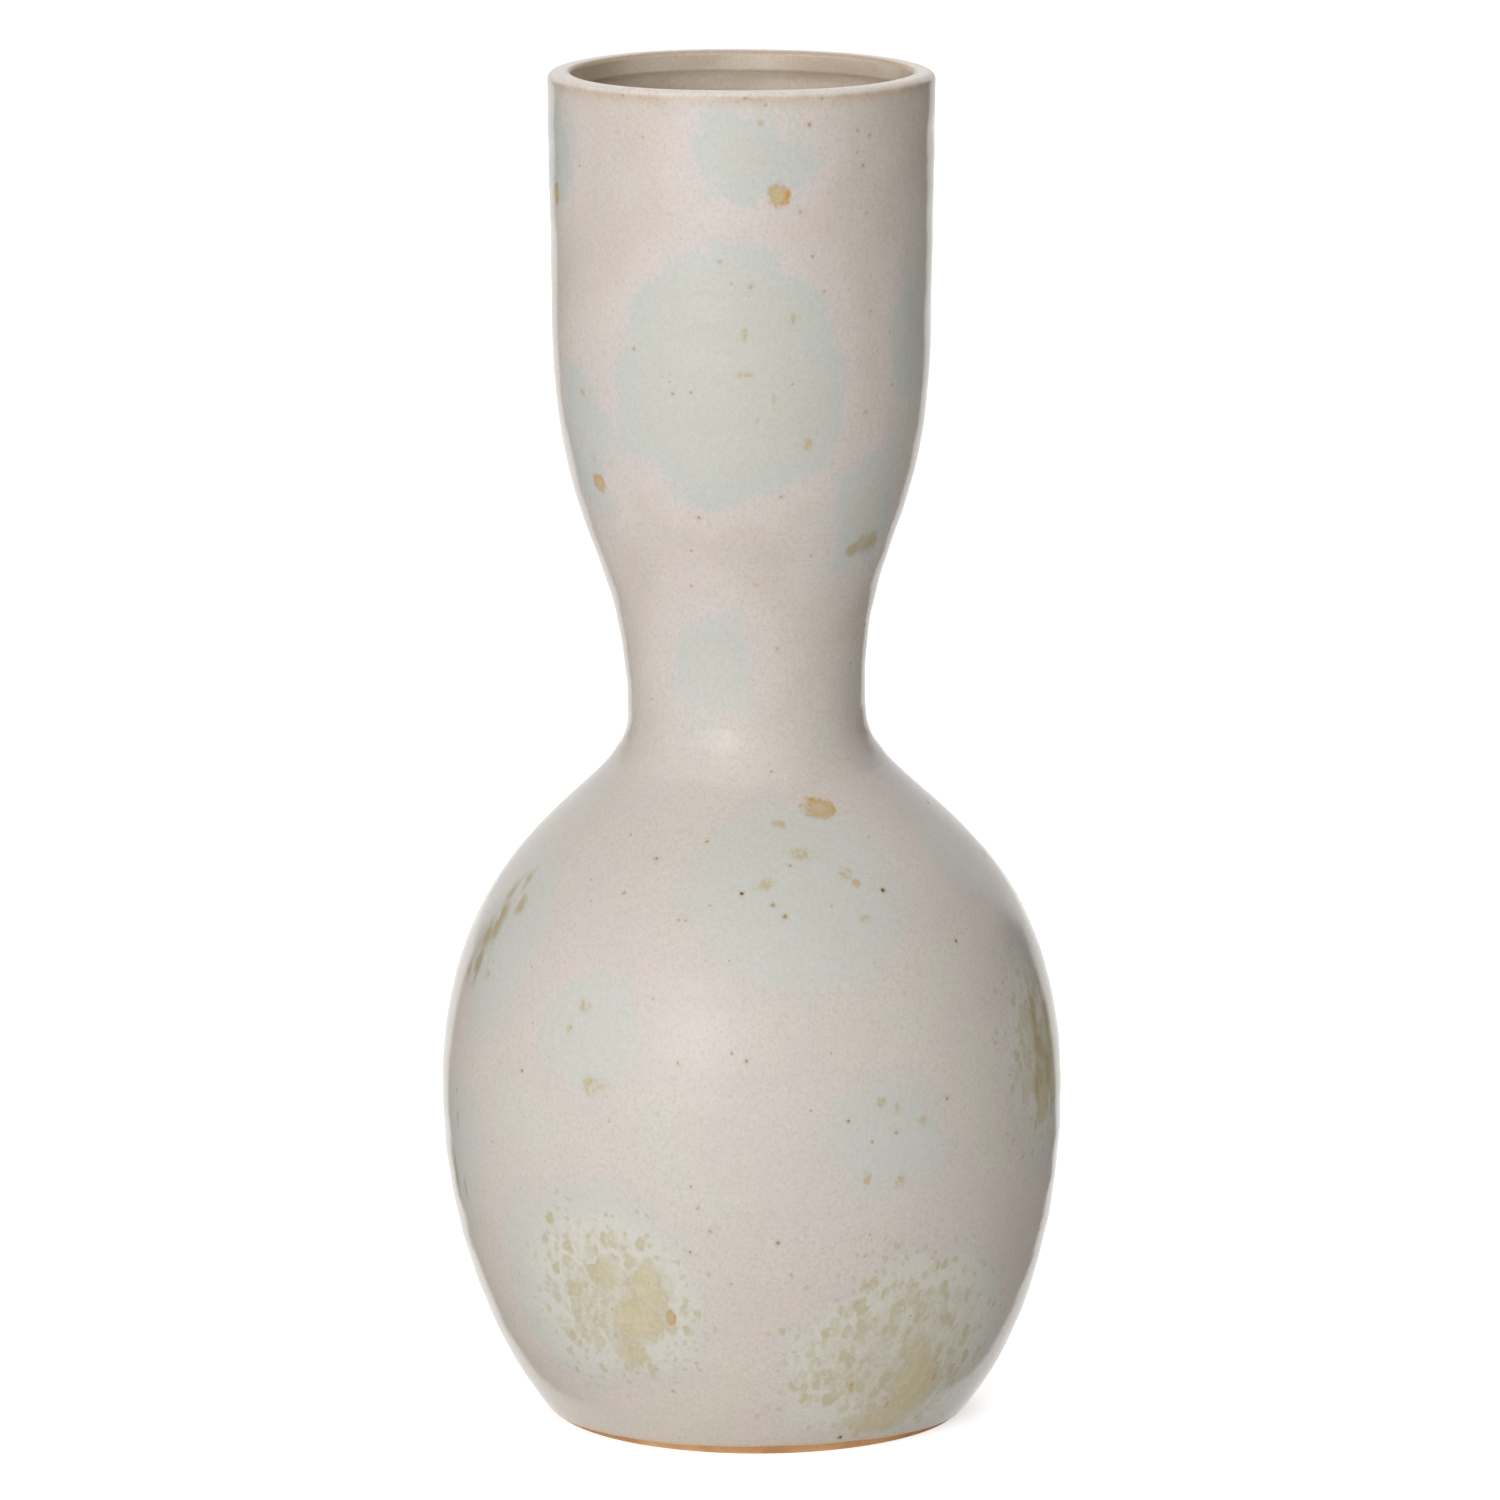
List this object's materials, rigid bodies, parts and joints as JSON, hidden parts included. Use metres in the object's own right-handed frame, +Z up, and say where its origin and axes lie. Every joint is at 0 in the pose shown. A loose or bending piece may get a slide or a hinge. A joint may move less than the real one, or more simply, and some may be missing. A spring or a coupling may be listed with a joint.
{
  "type": "stoneware vase",
  "caption": "Tall stoneware vase with a round belly, a narrow waist, a wide upright collar and a flat foot ring, glazed inside and out, for holding flowers in water.",
  "frame": {"origin": "on the table, in the middle of the foot and under the middle of the belly", "axes": "+Z up along the vase's axis, +X to the right and +Y away from the viewer in the picture"},
  "size_m": [0.146, 0.146, 0.318],
  "materials": {
    "stoneware": "bare fired clay",
    "joining_clay": "bare fired slip",
    "outer_glaze": "satin reactive glaze",
    "liner_glaze": "satin liner glaze"
  },
  "bodies": {
    "root": {"foot_ring": "stoneware", "floor_slab": "stoneware", "floor_seam_coil": "joining_clay", "belly_section": "stoneware", "waist_slip": "joining_clay", "collar_section": "stoneware", "outer_glaze": "outer_glaze", "liner_glaze": "liner_glaze"}
  },
  "joints": []
}
